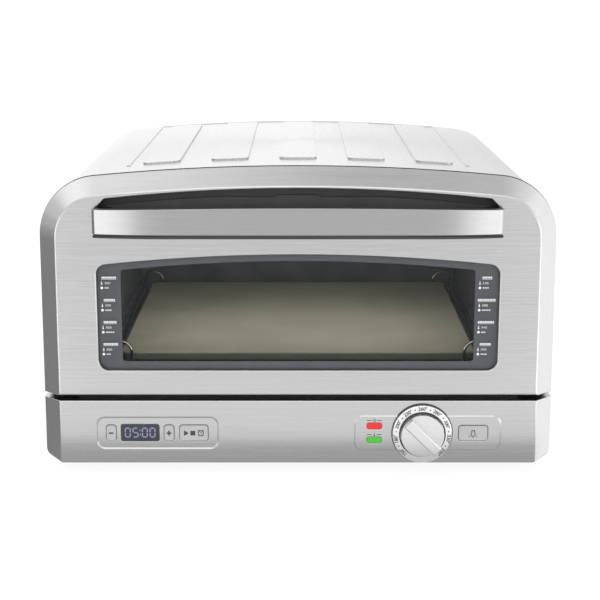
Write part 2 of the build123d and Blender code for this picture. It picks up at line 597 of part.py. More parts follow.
with BuildPart() as lamp_holder:
    rod_x(LAMP_Y, LAMP_Z, LAMP_R + 3, CAVITY_X + LINER, CAVITY_X + 32)
    rod_x(LAMP_Y, LAMP_Z, LAMP_R, CAVITY_X, SOCKET_FLOOR, Mode.SUBTRACT)
    rod_x(LAMP_Y, LAMP_Z, BULB_R, SOCKET_FLOOR - 2, BULB_BACK, Mode.SUBTRACT)
save(lamp_holder, "lamp_holder")

with BuildPart() as temperature_probe:
    rod_y(PROBE_X, PROBE_Z, PROBE_R, 60, 190)
    fillet(temperature_probe.faces().sort_by(Axis.Y)[0].edges(), PROBE_R - 0.3)
save(temperature_probe, "temperature_probe")

# ---------------------------------------------------------------- rack and stone
BAR_COUNT = 12
LOOP_WIRE_R = WIRE_R - 0.1
LOOP_SET_IN = 2.2  # the loops stand this far inside the end wires
with BuildPart() as stone_rack:
    for side in (-1, 1):
        rod_y(side * RACK_X, RACK_Z, WIRE_R, RACK_FRONT, RACK_BACK)
    for y in (RACK_FRONT, RACK_BACK):
        rod_x(y, RACK_Z, WIRE_R, -RACK_X, RACK_X)
        for side in (-1, 1):
            with Locations((side * RACK_X, y, RACK_Z)):
                Sphere(WIRE_R)
    for index in range(BAR_COUNT):
        x = (index - (BAR_COUNT - 1) / 2) * BAR_PITCH
        rod_y(x, RACK_Z, BAR_R, RACK_FRONT, RACK_BACK)
    for side in (-1, 1):
        for y in (RACK_FRONT + LOOP_SET_IN, RACK_BACK - LOOP_SET_IN):
            left, right = side * LOOP_X - LOOP_R, side * LOOP_X + LOOP_R
            foot_z = RACK_Z - 0.4
            with BuildLine() as loop_path:
                inner = Line((left, y, foot_z), (left, y, LOOP_SPRING))
                crown = (side * LOOP_X, y, LOOP_SPRING + LOOP_R)
                ThreePointArc(inner @ 1, crown, (right, y, LOOP_SPRING))
                Line((right, y, LOOP_SPRING), (right, y, foot_z))
            with BuildSketch(Plane(inner @ 0, z_dir=(0, 0, 1))):
                Circle(LOOP_WIRE_R)
            sweep(path=loop_path.line)
save(stone_rack, "stone_rack")

STONE_LOW = RACK_Z + BAR_R + 0.02
STONE_CORNER_R, STONE_EDGE_R = 8.0, 2.0
with BuildPart() as pizza_stone:
    slab(-STONE_X / 2, STONE_X / 2, STONE_FRONT, STONE_FRONT + STONE_Y, STONE_LOW, STONE_LOW + STONE_Z)
    fillet(pizza_stone.edges().filter_by(Axis.Z), STONE_CORNER_R)
    fillet(pizza_stone.faces().sort_by(Axis.Z)[-1].edges(), STONE_EDGE_R)
    fillet(pizza_stone.faces().sort_by(Axis.Z)[0].edges(), STONE_EDGE_R)
save(pizza_stone, "pizza_stone")

# ---------------------------------------------------------------- base
BASE_CORNER = 10.0
BASE_EDGE_R = 1.2
PANEL_CORNER, PANEL_TAPER = 7.5, 57
LED_CORNER, DISPLAY_CORNER = 2.2, 2.0
KEYS = {"minus_key": MINUS_KEY, "plus_key": PLUS_KEY, "start_key": START_KEY, "lamp_key": LAMP_KEY}
LEDS = {"power_lens": CONTROL_Z + LED_RISE, "ready_lens": CONTROL_Z - LED_RISE}
SHAFT_HOLE_R = 6.0
with BuildPart() as base_fascia:
    loft([base_face(Y_FACE, BEVEL_IN, 2).face(), base_face(Y_RIM, 0, BASE_CORNER).face()], ruled=True)
    extrude(base_face(Y_RIM, 0, BASE_CORNER), amount=-RIM)
    fillet(base_fascia.faces().sort_by(Axis.Y)[0].edges().filter_by(Axis.X), BASE_EDGE_R)
    with BuildPart(mode=Mode.PRIVATE) as base_hollow:
        front_inner = base_face(Y_SKIN, BEVEL_IN + WALL_LEAN, 1, SHEET)
        back_inner = base_face(Y_RIM, WALL_LEAN, BASE_CORNER - WALL_LEAN, SHEET)
        loft([front_inner.face(), back_inner.face()], ruled=True)
        extrude(back_inner, amount=-2 * RIM)
    add(base_hollow.part, mode=Mode.SUBTRACT)
    # The left panel is pressed in, the right one out.
    sunk = panel_face(Y_FACE, *LEFT_PANEL, PANEL_CORNER)
    raised = panel_face(Y_FACE, *RIGHT_PANEL, PANEL_CORNER)
    extrude(sunk, amount=-PANEL_STEP, taper=PANEL_TAPER, mode=Mode.SUBTRACT)
    extrude(raised, amount=PANEL_STEP, taper=PANEL_TAPER)
    y_tool = Y_FACE - THROUGH
    for centre_x, wide, tall in KEYS.values():
        hole = panel_face(y_tool, centre_x, wide + 2 * KEY_GAP, tall + 2 * KEY_GAP, KEY_R + KEY_GAP)
        extrude(hole, amount=-2 * THROUGH, mode=Mode.SUBTRACT)
    for z in LEDS.values():
        hole = panel_face(y_tool, LED_X, LED_WIDE, LED_TALL, LED_CORNER, z)
        extrude(hole, amount=-2 * THROUGH, mode=Mode.SUBTRACT)
    hole = panel_face(y_tool, DISPLAY_X, DISPLAY_WIDE, DISPLAY_TALL, DISPLAY_CORNER)
    extrude(hole, amount=-2 * THROUGH, mode=Mode.SUBTRACT)
    rod_y(DIAL_X, CONTROL_Z, SHAFT_HOLE_R, y_tool, Y_FACE + THROUGH, Mode.SUBTRACT)
save(base_fascia, "base_fascia")

FLOOR_X, FLOOR_FRONT, FLOOR_BACK, FLOOR_LAP = 190.0, -150.0, 190.0, 8.0
TRAY_LIP = 217.0  # half width of the open roof of the tray
GLAND_X, GLAND_Z, GLAND_R, LEAD_R = -170.0, 42.0, 7.0, 3.6
FEET = [(side * 196.0, y) for side in (-1, 1) for y in (-135.0, 175.0)]
with BuildPart() as base_tray:
    extrude(base_face(Y_DOOR_BACK, 0, BASE_CORNER), amount=-(Y_HOUSE_BACK - Y_DOOR_BACK))
    room = base_face(Y_DOOR_BACK - THROUGH, SHEET, BASE_CORNER - SHEET, SHEET)
    extrude(room, amount=-(Y_HOUSE_BACK - SHEET - Y_DOOR_BACK + THROUGH), mode=Mode.SUBTRACT)
    # The roof of the tray is open under the deck, and its floor has a service opening.
    roof_hole = (-TRAY_LIP, TRAY_LIP, Y_DOOR_BACK - 1, Y_HOUSE_BACK - SHEET)
    slab(*roof_hole, BASE_TOP - 3, BASE_TOP + 1, Mode.SUBTRACT)
    floor_hole = (-FLOOR_X + FLOOR_LAP, FLOOR_X - FLOOR_LAP, FLOOR_FRONT + FLOOR_LAP, FLOOR_BACK - FLOOR_LAP)
    slab(*floor_hole, FOOT_H - 1, FOOT_H + 3, Mode.SUBTRACT)
    rod_y(GLAND_X, GLAND_Z, GLAND_R, Y_HOUSE_BACK - THROUGH, Y_HOUSE_BACK + THROUGH, Mode.SUBTRACT)
    for x, y in FEET:
        rod_z(x, y, SCREW_HOLE_R, FOOT_H - THROUGH, FOOT_H + THROUGH, Mode.SUBTRACT)
save(base_tray, "base_tray")

Z_FLOOR = FOOT_H + SHEET
FLOOR_VENT_LONG, FLOOR_VENT_WIDE = 22.0, 4.0
with BuildPart() as bottom_plate:
    slab(-FLOOR_X, FLOOR_X, FLOOR_FRONT, FLOOR_BACK, Z_FLOOR, Z_FLOOR + LINER)
    with BuildSketch(Plane.XY.offset(Z_FLOOR - 1)) as floor_vents:
        with Locations((0, (FLOOR_FRONT + FLOOR_BACK) / 2)):
            with GridLocations(24, 30, 11, 5):
                SlotOverall(FLOOR_VENT_LONG, FLOOR_VENT_WIDE, rotation=90)
    extrude(floor_vents.sketch, amount=THROUGH, mode=Mode.SUBTRACT)
save(bottom_plate, "bottom_plate")

FOOT_R, FOOT_SINK = 11.0, 4.0
with BuildPart() as feet:
    for x, y in FEET:
        rod_z(x, y, FOOT_R, 0, FOOT_H)
    fillet(feet.faces().filter_by(Axis.Z).group_by(Axis.Z)[0].edges(), 2)
    for x, y in FEET:
        rod_z(x, y, HEAD_R + 0.6, -1, FOOT_SINK, Mode.SUBTRACT)
        rod_z(x, y, SCREW_HOLE_R, 0, FOOT_H + 1, Mode.SUBTRACT)
save(feet, "feet")

with BuildPart() as foot_screws:
    for x, y in FEET:
        rod_z(x, y, HEAD_R, FOOT_SINK - 2, FOOT_SINK)
        rod_z(x, y, SCREW_R, FOOT_SINK, FOOT_H + 5)
save(foot_screws, "foot_screws")

DECK_X, DECK_BACK, DECK_WALL = 217.5, 204.0, 5.4
DECK_APRON_X = 195.0
with BuildPart() as chassis_deck:
    slab(-DECK_X, DECK_X, Y_CAVITY, DECK_BACK, BASE_TOP, BASE_TOP + SHEET)
    for x in (-DECK_X, DECK_X - SHEET):
        slab(x, x + SHEET, Y_CAVITY, DECK_BACK, BASE_TOP + SHEET, BASE_TOP + DECK_WALL)
    slab(-DECK_X, DECK_X, DECK_BACK - SHEET, DECK_BACK, BASE_TOP + SHEET, BASE_TOP + DECK_WALL)
    slab(-DECK_APRON_X, DECK_APRON_X, Y_CAVITY, Y_CAVITY + SHEET, BASE_TOP + SHEET, CAVITY_LOW - LINER)
save(chassis_deck, "chassis_deck")

GLAND_OUT, GLAND_IN = Y_BACK - 1, Y_HOUSE_BACK - 12
with BuildPart() as cord_gland:
    rod_y(GLAND_X, GLAND_Z, GLAND_R + 3, Y_HOUSE_BACK, GLAND_OUT)
    rod_y(GLAND_X, GLAND_Z, GLAND_R, GLAND_IN, Y_HOUSE_BACK)
    fillet(cord_gland.faces().sort_by(Axis.Y)[-1].edges(), 2)
    rod_y(GLAND_X, GLAND_Z, LEAD_R, GLAND_IN - 2, GLAND_OUT + 1, Mode.SUBTRACT)
save(cord_gland, "cord_gland")

# ---------------------------------------------------------------- controls
KEY_FLANGE = 1.2
KEY_EDGE_R = 0.5
STEM_R = 2.5
Y_FLANGE = Y_SKIN + 0.25
Y_STEM_BACK = Y_FACE + 5.0
for name, (centre_x, wide, tall) in KEYS.items():
    with BuildPart() as key:
        outer_y = Y_FACE - KEY_OUT - (PANEL_STEP if name == "lamp_key" else 0)
        extrude(panel_face(outer_y, centre_x, wide, tall, KEY_R), amount=-(Y_FLANGE - outer_y))
        fillet(key.faces().sort_by(Axis.Y)[0].edges(), KEY_EDGE_R)
        flange = panel_face(Y_FLANGE, centre_x, wide + 2 * KEY_FLANGE, tall + 2 * KEY_FLANGE, KEY_R)
        extrude(flange, amount=-LINER)
        rod_y(centre_x, CONTROL_Z, STEM_R, Y_FLANGE + LINER, Y_STEM_BACK)
    save(key, name)

SWITCH_HALF, SWITCH_THICK, PLUNGER_R = 3.5, 3.0, 1.8
with BuildPart() as key_switches:
    low, high = CONTROL_Z - SWITCH_HALF, CONTROL_Z + SWITCH_HALF
    for centre_x, wide, tall in KEYS.values():
        slab(centre_x - SWITCH_HALF, centre_x + SWITCH_HALF, Y_BOARD - SWITCH_THICK, Y_BOARD, low, high)
        rod_y(centre_x, CONTROL_Z, PLUNGER_R, Y_STEM_BACK + SWITCH_GAP, Y_BOARD - SWITCH_THICK)
save(key_switches, "key_switches")

Y_SCREEN, SCREEN_THICK = Y_FACE + 0.4, 2.4
with BuildPart() as display_window:
    extrude(panel_face(Y_SCREEN, DISPLAY_X, DISPLAY_WIDE, DISPLAY_TALL, DISPLAY_CORNER), amount=-SCREEN_THICK)
save(display_window, "display_window")

MODULE_HALF_X, MODULE_HALF_Z = 15.0, 7.0
with BuildPart() as display_module:
    low, high = CONTROL_Z - MODULE_HALF_Z, CONTROL_Z + MODULE_HALF_Z
    slab(DISPLAY_X - MODULE_HALF_X, DISPLAY_X + MODULE_HALF_X, Y_SCREEN + SCREEN_THICK, Y_BOARD, low, high)
save(display_module, "display_module")

LED_OUT, LED_DEEP = 0.6, 4.0
for name, z in LEDS.items():
    with BuildPart() as lens:
        outline = panel_face(Y_FACE - PANEL_STEP - LED_OUT, LED_X, LED_WIDE, LED_TALL, LED_CORNER, z)
        extrude(outline, amount=-LED_DEEP)
        fillet(lens.faces().sort_by(Axis.Y)[0].edges(), 1.0)
    save(lens, name)

BOARD_LOW, BOARD_HIGH = 24.0, 54.0
BOARD_SPANS = ((-176.0, -76.0), (56.0, 79.0), (142.0, 168.0))
with BuildPart() as control_board:
    for low_x, high_x in BOARD_SPANS:
        slab(low_x, high_x, Y_BOARD, Y_BOARD + BOARD, BOARD_LOW, BOARD_HIGH)
save(control_board, "control_board")

POST_IN_X, POST_IN_Z, BOARD_POST_R = 3.7, 3.0, 2.0
with BuildPart() as board_posts:
    for low_x, high_x in BOARD_SPANS:
        for x in (low_x + POST_IN_X, high_x - POST_IN_X):
            for z in (BOARD_LOW + POST_IN_Z, BOARD_HIGH - POST_IN_Z):
                rod_y(x, z, BOARD_POST_R, Y_SKIN, Y_BOARD)
save(board_posts, "board_posts")

Y_PANEL = Y_FACE - PANEL_STEP  # the raised right panel
with BuildPart() as dial_bezel:
    rod_y(DIAL_X, CONTROL_Z, BEZEL_R, Y_PANEL - BEZEL_OUT, Y_PANEL)
    fillet(dial_bezel.faces().sort_by(Axis.Y)[0].edges(), 1.2)
    rod_y(DIAL_X, CONTROL_Z, BEZEL_HOLE_R, Y_PANEL - 2 * THROUGH, Y_PANEL - 1, Mode.SUBTRACT)
    rod_y(DIAL_X, CONTROL_Z, SHAFT_HOLE_R, Y_PANEL - 2, Y_PANEL + 1, Mode.SUBTRACT)
save(dial_bezel, "dial_bezel")

KNOB_BACK = Y_PANEL - 1.6
SHAFT_FRONT = Y_FACE - 9.0
with BuildPart() as dial_knob:
    rod_y(DIAL_X, CONTROL_Z, KNOB_R, Y_FACE - KNOB_FACE_OUT, KNOB_BACK)
    with BuildPart(mode=Mode.PRIVATE) as grip:
        with BuildSketch(front(Y_FACE - KNOB_OUT)):
            with Locations((DIAL_X, CONTROL_Z)):
                Circle(KNOB_R)
                Rectangle(3 * KNOB_R, GRIP_WIDE, rotation=-45, mode=Mode.INTERSECT)
        extrude(amount=-(KNOB_OUT - KNOB_FACE_OUT))
        fillet(grip.faces().sort_by(Axis.Y)[0].edges(), 1.2)
    add(grip.part)
    fillet(dial_knob.faces().sort_by(Axis.Y)[-1].edges(), 0.6)
    rod_y(DIAL_X, CONTROL_Z, SHAFT_R, SHAFT_FRONT, Y_FACE + 1, Mode.SUBTRACT)
save(dial_knob, "dial_knob")

SHAFT_BACK = Y_FACE + 18.0
with BuildPart() as dial_shaft:
    rod_y(DIAL_X, CONTROL_Z, SHAFT_R, SHAFT_FRONT, SHAFT_BACK)
save(dial_shaft, "dial_shaft")

BUSH_R = 5.2
CAN_FRONT, CAN_BACK, CAN_HALF_X, CAN_HALF_Z = Y_FACE + 10, Y_FACE + 34, 17.0, 16.0
with BuildPart() as thermostat_body:
    rod_y(DIAL_X, CONTROL_Z, BUSH_R, Y_FACE + 0.2, CAN_FRONT)
    low, high = CONTROL_Z - CAN_HALF_Z, CONTROL_Z + CAN_HALF_Z
    slab(DIAL_X - CAN_HALF_X, DIAL_X + CAN_HALF_X, CAN_FRONT, CAN_BACK, low, high)
    fillet(thermostat_body.edges().filter_by(Axis.Y).group_by(SortBy.LENGTH)[-1], 3)
    rod_y(DIAL_X, CONTROL_Z, SHAFT_R + RUNNING, Y_FACE - 1, SHAFT_BACK + 2, Mode.SUBTRACT)
save(thermostat_body, "thermostat_body")

# Power board, with its transformer, two relays and two capacitors.
Z_POWER = 24.0
POWER_X, POWER_FRONT, POWER_BACK = 70.0, 40.0, 140.0
RELAYS = ((55.0, 75.0), (85.0, 105.0))
CAPACITORS = ((40.0, 70.0), (40.0, 100.0))
with BuildPart() as power_board:
    z_parts = Z_POWER + BOARD
    slab(-POWER_X, POWER_X, POWER_FRONT, POWER_BACK, Z_POWER, z_parts)
    slab(-60, -24, 60, 95, z_parts, 52)
    for relay_front, relay_back in RELAYS:
        slab(-8, 12, relay_front, relay_back, z_parts, 42)
    for x, y in CAPACITORS:
        rod_z(x, y, 8, z_parts, 48)
save(power_board, "power_board")

POWER_POST_R, POWER_POST_IN = 3.0, 6.0
with BuildPart() as power_posts:
    for x in (-POWER_X + POWER_POST_IN, POWER_X - POWER_POST_IN):
        for y in (POWER_FRONT + POWER_POST_IN, POWER_BACK - POWER_POST_IN):
            rod_z(x, y, POWER_POST_R, Z_FLOOR + LINER, Z_POWER)
save(power_posts, "power_posts")
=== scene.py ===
"""Looks of the countertop pizza oven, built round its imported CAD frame. Metres, +Z up, door faces -Y."""
import json
import math

import bmesh
import bpy
from mathutils import Matrix, Vector


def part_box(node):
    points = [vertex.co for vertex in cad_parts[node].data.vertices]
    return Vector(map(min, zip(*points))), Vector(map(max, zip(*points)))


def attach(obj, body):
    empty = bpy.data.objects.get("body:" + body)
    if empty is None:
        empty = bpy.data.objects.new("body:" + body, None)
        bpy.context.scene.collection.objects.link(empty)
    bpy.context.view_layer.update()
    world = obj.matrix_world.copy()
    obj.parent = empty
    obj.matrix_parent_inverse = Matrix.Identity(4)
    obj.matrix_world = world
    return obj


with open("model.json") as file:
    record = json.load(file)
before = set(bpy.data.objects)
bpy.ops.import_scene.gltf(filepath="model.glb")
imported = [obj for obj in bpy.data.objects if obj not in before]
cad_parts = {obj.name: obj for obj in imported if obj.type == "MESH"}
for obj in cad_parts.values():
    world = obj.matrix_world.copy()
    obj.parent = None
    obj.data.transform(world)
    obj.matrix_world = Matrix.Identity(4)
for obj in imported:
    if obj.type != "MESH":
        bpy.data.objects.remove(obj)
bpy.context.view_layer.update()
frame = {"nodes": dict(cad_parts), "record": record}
nodes = frame["nodes"]

# ---------------------------------------------------------------- places, read from the frame
GLASS_LOW, GLASS_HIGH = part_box("door_window")
BEZEL_LOW, BEZEL_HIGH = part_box("dial_bezel")
SCREEN_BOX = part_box("display_window")
KEY_BOX = {name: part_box(f"{name}_key") for name in ("minus", "plus", "start", "lamp")}
LENS_BOX = {name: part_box(f"{name}_lens") for name in ("power", "ready")}
CAVITY_LOW, CAVITY_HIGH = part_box("cavity_liner")
FACE_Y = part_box("door_shell")[0].y  # front plane of the door, and of the base below it
MM = 0.001


# ---------------------------------------------------------------- material helpers
class Nodes:
    """A material's node tree, with short calls for the nodes used here."""

    def __init__(self, name):
        self.material = bpy.data.materials.new(name)
        self.material.use_nodes = True
        self.tree = self.material.node_tree
        self.shader = self.tree.nodes["Principled BSDF"]
        self.coords = self.tree.nodes.new("ShaderNodeTexCoord")

    def set(self, **values):
        """Sets sockets of the shader; an underscore stands for a space."""
        for key, value in values.items():
            self.shader.inputs[key.replace("_", " ")].default_value = value
        return self

    def link(self, output, target):
        """Joins a node's output to an input."""
        self.tree.links.new(output, target)

    def noise(self, scale, stretch=(1, 1, 1), detail=3, rough=0.55):
        """Noise in object space, stretched per axis."""
        mapping = self.tree.nodes.new("ShaderNodeMapping")
        mapping.inputs["Scale"].default_value = stretch
        self.link(self.coords.outputs["Object"], mapping.inputs["Vector"])
        noise = self.tree.nodes.new("ShaderNodeTexNoise")
        noise.inputs["Scale"].default_value = scale
        noise.inputs["Detail"].default_value = detail
        noise.inputs["Roughness"].default_value = rough
        self.link(mapping.outputs["Vector"], noise.inputs["Vector"])
        return noise.outputs["Fac"]

    def spread(self, value, low, high, start=0.3, end=0.7):
        """Maps a factor to a range."""
        node = self.tree.nodes.new("ShaderNodeMapRange")
        node.inputs["From Min"].default_value = start
        node.inputs["From Max"].default_value = end
        node.inputs["To Min"].default_value = low
        node.inputs["To Max"].default_value = high
        self.link(value, node.inputs["Value"])
        return node.outputs["Result"]

    def ramp(self, value, stops):
        """Colour ramp: stops are (position, colour)."""
        node = self.tree.nodes.new("ShaderNodeValToRGB")
        node.color_ramp.elements[0].position = stops[0][0]
        node.color_ramp.elements[1].position = stops[-1][0]
        for position, _ in stops[1:-1]:
            node.color_ramp.elements.new(position)
        for element, (_, colour) in zip(node.color_ramp.elements, stops):
            element.color = (*colour, 1)
        self.link(value, node.inputs["Fac"])
        return node.outputs["Color"]

    def bump(self, value, strength, distance, edge=0.0):
        """Bump, over edges that shade as if rounded to the given radius in metres."""
        node = self.tree.nodes.new("ShaderNodeBump")
        node.inputs["Strength"].default_value = strength
        node.inputs["Distance"].default_value = distance
        self.link(value, node.inputs["Height"])
        self.link(node.outputs["Normal"], self.shader.inputs["Normal"])
        if edge:
            rounding = self.tree.nodes.new("ShaderNodeBevel")
            rounding.samples = 6
            rounding.inputs["Radius"].default_value = edge
            self.link(rounding.outputs["Normal"], node.inputs["Normal"])


def grey(level, tint=(1, 1, 1)):
    """A level of grey, tinted."""
    return tuple(level * part for part in tint)


def brushed(name, level, grain=(1, 1, 1), rough=(0.26, 0.36), contrast=0.05, tint=(1, 1, 1), edge=0.0):
    """Brushed steel. grain is the stretch per axis: small along the brushing, large across it."""
    made = Nodes(name).set(Metallic=1.0, Anisotropic=0.4)
    streak = made.noise(60, grain, detail=5, rough=0.7)
    low, high = grey(level * (1 - contrast), tint), grey(level * (1 + contrast), tint)
    made.link(made.ramp(streak, [(0.3, low), (0.7, high)]), made.shader.inputs["Base Color"])
    fine = made.noise(240, grain, detail=3)
    made.link(made.spread(fine, *rough), made.shader.inputs["Roughness"])
    made.bump(fine, 0.12, 0.00005, edge)
    return made.material


def coated(name, colour, rough, speckle=900, lift=0.15, metallic=0.0, spread=0.12):
    """Painted, enamelled or moulded surface with a fine orange-peel."""
    made = Nodes(name).set(Metallic=metallic)
    tone = made.noise(35, detail=4)
    low = tuple(part * (1 - spread) for part in colour)
    high = tuple(min(1.0, part * (1 + spread)) for part in colour)
    made.link(made.ramp(tone, [(0.35, low), (0.65, high)]), made.shader.inputs["Base Color"])
    peel = made.noise(speckle, detail=2)
    made.link(made.spread(peel, rough * 0.88, rough * 1.1), made.shader.inputs["Roughness"])
    made.bump(peel, lift, 0.0001)
    return made.material


def clear(name, colour, alpha, rough=0.05):
    """Thin glass: mostly see-through, with smears in its polish."""
    made = Nodes(name).set(Base_Color=(*colour, 1), Alpha=alpha)
    smear = made.noise(18, (1, 1, 2), detail=4)
    made.link(made.spread(smear, rough * 0.7, rough * 1.6), made.shader.inputs["Roughness"])
    return made.material


def glowing(name, colour, strength):
    """Lit lens or display mark."""
    made = Nodes(name).set(Base_Color=(*colour, 1), Emission_Color=(*colour, 1), Roughness=0.25)
    core = made.noise(300, detail=2)
    made.link(made.spread(core, strength * 0.85, strength * 1.15), made.shader.inputs["Emission Strength"])
    return made.material


def stone_material():
    """Cordierite: khaki top with fine grains and faint baked clouds, and painted shade on the sides: its
    upright faces are darkened.
    """
    made = Nodes("stone").set(Specular_IOR_Level=0.35)
    cloud = made.noise(9, detail=5)
    khaki = [(0.3, (0.36, 0.345, 0.26)), (0.55, (0.43, 0.41, 0.31)), (0.75, (0.47, 0.445, 0.34))]
    tone = made.ramp(cloud, khaki)
    grain = made.noise(1400, detail=3)
    mix = made.tree.nodes.new("ShaderNodeMixRGB")
    mix.blend_type = "MULTIPLY"
    mix.inputs["Fac"].default_value = 0.35
    made.link(tone, mix.inputs["Color1"])
    speck = made.ramp(grain, [(0.3, (0.62, 0.6, 0.56)), (0.5, (1, 1, 1))])
    made.link(speck, mix.inputs["Color2"])
    # Painted shade: faces that stand upright take a dark colour in place of the khaki, mixed in by the
    # normal's Z.
    upright = made.tree.nodes.new("ShaderNodeSeparateXYZ")
    made.link(made.coords.outputs["Normal"], upright.inputs["Vector"])
    side = made.tree.nodes.new("ShaderNodeMixRGB")
    side.inputs["Color1"].default_value = (0.14, 0.137, 0.103, 1)
    made.link(made.spread(upright.outputs["Z"], 0, 1, 0.1, 0.9), side.inputs["Fac"])
    made.link(mix.outputs["Color"], side.inputs["Color2"])
    made.link(side.outputs["Color"], made.shader.inputs["Base Color"])
    made.link(made.spread(grain, 0.72, 0.9), made.shader.inputs["Roughness"])
    made.bump(grain, 0.35, 0.0003)
    return made.material


def wool_material():
    """Fibre blanket."""
    made = Nodes("wool").set(Roughness=0.95, Sheen_Weight=0.3)
    fibre = made.noise(500, (1, 3, 1), detail=6, rough=0.7)
    cream = made.ramp(fibre, [(0.3, (0.55, 0.5, 0.38)), (0.7, (0.82, 0.78, 0.64))])
    made.link(cream, made.shader.inputs["Base Color"])
    made.bump(fibre, 0.8, 0.001)
    return made.material


# Stretch of the grain per axis, for brushed().
ALONG_X = (0.15, 8, 8)
ALONG_Y = (8, 0.15, 8)
EVEN = (1, 1, 1)
finish = {
    "door_steel": brushed("door_steel", 0.51, ALONG_X, rough=(0.2, 0.28), contrast=0.035, edge=0.0011),
    "casing_steel": brushed("casing_steel", 0.5, ALONG_Y, rough=(0.24, 0.3), contrast=0.02, edge=0.0007),
    "handle_steel": brushed("handle_steel", 0.40, ALONG_X, rough=(0.16, 0.22), contrast=0.03, edge=0.0006),
    "structural_steel": brushed("structural_steel", 0.45, EVEN, rough=(0.35, 0.5), contrast=0.12),
    "dark_enamel": coated("dark_enamel", (0.055, 0.055, 0.056), 0.45),
    "oven_enamel": coated("oven_enamel", (0.135, 0.135, 0.137), 0.5, spread=0.2, metallic=0.2),
    "window_glass": clear("window_glass", (0.03, 0.035, 0.04), 0.08),
    "inner_glass": clear("inner_glass", (0.05, 0.05, 0.05), 0.05),
    "lamp_glass": clear("lamp_glass", (0.85, 0.83, 0.75), 0.4, 0.15),
    "gasket_rubber": coated("gasket_rubber", (0.02, 0.02, 0.02), 0.7),
    "foot_rubber": coated("foot_rubber", (0.025, 0.025, 0.027), 0.75),
    "black_plastic": coated("black_plastic", (0.026, 0.026, 0.028), 0.5),
    "key_plastic": coated("key_plastic", (0.42, 0.42, 0.42), 0.4, spread=0.04),
    "display_plastic": coated("display_plastic", (0.03, 0.031, 0.045), 0.3, spread=0.05, lift=0.02),
    "red_lens": glowing("red_lens", (0.66, 0.015, 0.014), 0.1),
    "green_lens": glowing("green_lens", (0.06, 0.4, 0.03), 0.14),
    "bezel_metal": brushed("bezel_metal", 0.8, EVEN, rough=(0.22, 0.3), contrast=0.02),
    "knob_metal": brushed("knob_metal", 0.68, ALONG_X, rough=(0.24, 0.32), contrast=0.03, edge=0.0005),
    "element_metal": brushed("element_metal", 0.16, EVEN, (0.4, 0.6), contrast=0.25, tint=(1, 0.93, 0.88)),
    "rack_chrome": brushed("rack_chrome", 0.62, EVEN, rough=(0.12, 0.2), contrast=0.05),
    "stone": stone_material(),
    "ceramic": coated("ceramic", (0.78, 0.75, 0.7), 0.6, spread=0.06),
    "wool": wool_material(),
    "circuit_board": coated("circuit_board", (0.02, 0.12, 0.05), 0.35, spread=0.15),
    "fastener_steel": brushed("fastener_steel", 0.5, EVEN, rough=(0.25, 0.4), contrast=0.1),
    "frit_print": coated("frit_print", (0.10, 0.104, 0.116), 0.3, speckle=1600, lift=0.05, spread=0.05),
    "white_print": coated("white_print", (0.85, 0.85, 0.88), 0.5, lift=0.03, spread=0.03),
    "black_print": coated("black_print", (0.035, 0.035, 0.037), 0.5, lift=0.03, spread=0.1),
    "display_light": glowing("display_light", (0.24, 0.26, 0.4), 0.03),
}
slot_of = {part["node"]: part["material_slot"] for part in frame["record"]["subparts"]}
for node, solid in nodes.items():
    for material_slot in solid.material_slots:
        material_slot.material = finish[slot_of[node]]


# ---------------------------------------------------------------- piece helpers
def add_piece(name, mesh, body, slot):
    """Puts a mesh in the scene as a piece that rides on a body and wears its slot's finish."""
    mesh.materials.append(finish[slot])
    made = bpy.data.objects.new(name, mesh)
    bpy.context.scene.collection.objects.link(made)
    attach(made, body)


def add_bmesh(name, built, body, slot):
    """Turns a finished bmesh into a piece."""
    mesh = bpy.data.meshes.new(name)
    built.to_mesh(mesh)
    built.free()
    add_piece(name, mesh, body, slot)


class Print:
    """Thin raised print on a plane facing -Y, made of flat-topped shapes in millimetres from a centre."""

    def __init__(self, name, centre_x, centre_z, y, thick=0.04):
        self.name = name
        self.x, self.z, self.y = centre_x, centre_z, y
        self.thick = thick * MM
        self.mesh = bmesh.new()

    def shape(self, points):
        """A closed outline, counter-clockwise seen from the front."""
        places = [(self.x + u * MM, self.z + v * MM) for u, v in points]
        top = [self.mesh.verts.new((x, self.y - self.thick, z)) for x, z in places]
        low = [self.mesh.verts.new((x, self.y, z)) for x, z in places]
        self.mesh.faces.new(top)
        self.mesh.faces.new(list(reversed(low)))
        for i in range(len(points)):
            j = (i + 1) % len(points)
            self.mesh.faces.new((top[j], top[i], low[i], low[j]))
        return self

    def bar(self, u, v, wide, tall, turn=0.0):
        """A rectangle, turned about its middle."""
        c, s = math.cos(turn), math.sin(turn)
        right, top = wide / 2, tall / 2
        corners = [(-right, -top), (right, -top), (right, top), (-right, top)]
        return self.shape([(u + c * a - s * b, v + s * a + c * b) for a, b in corners])

    def dot(self, u, v, radius, sides=20):
        """A filled circle."""
        turns = [2 * math.pi * k / sides for k in range(sides)]
        return self.shape([(u + radius * math.cos(t), v + radius * math.sin(t)) for t in turns])

    def ring(self, u, v, radius, wide, start=0.0, sweep=2 * math.pi, steps=24):
        """An arc of a ring, as short bars end to end."""
        for k in range(steps):
            a = start + sweep * k / steps
            b = start + sweep * (k + 1) / steps
            outer, inner = radius + wide / 2, radius - wide / 2
            self.shape([
                (u + inner * math.cos(a), v + inner * math.sin(a)),
                (u + outer * math.cos(a), v + outer * math.sin(a)),
                (u + outer * math.cos(b), v + outer * math.sin(b)),
                (u + inner * math.cos(b), v + inner * math.sin(b)),
            ])
        return self

    def done(self, body, slot):
        """Closes the sheet and adds it as a piece."""
        bmesh.ops.remove_doubles(self.mesh, verts=self.mesh.verts, dist=1e-6)
        bmesh.ops.recalc_face_normals(self.mesh, faces=self.mesh.faces)
        add_bmesh(self.name, self.mesh, body, slot)


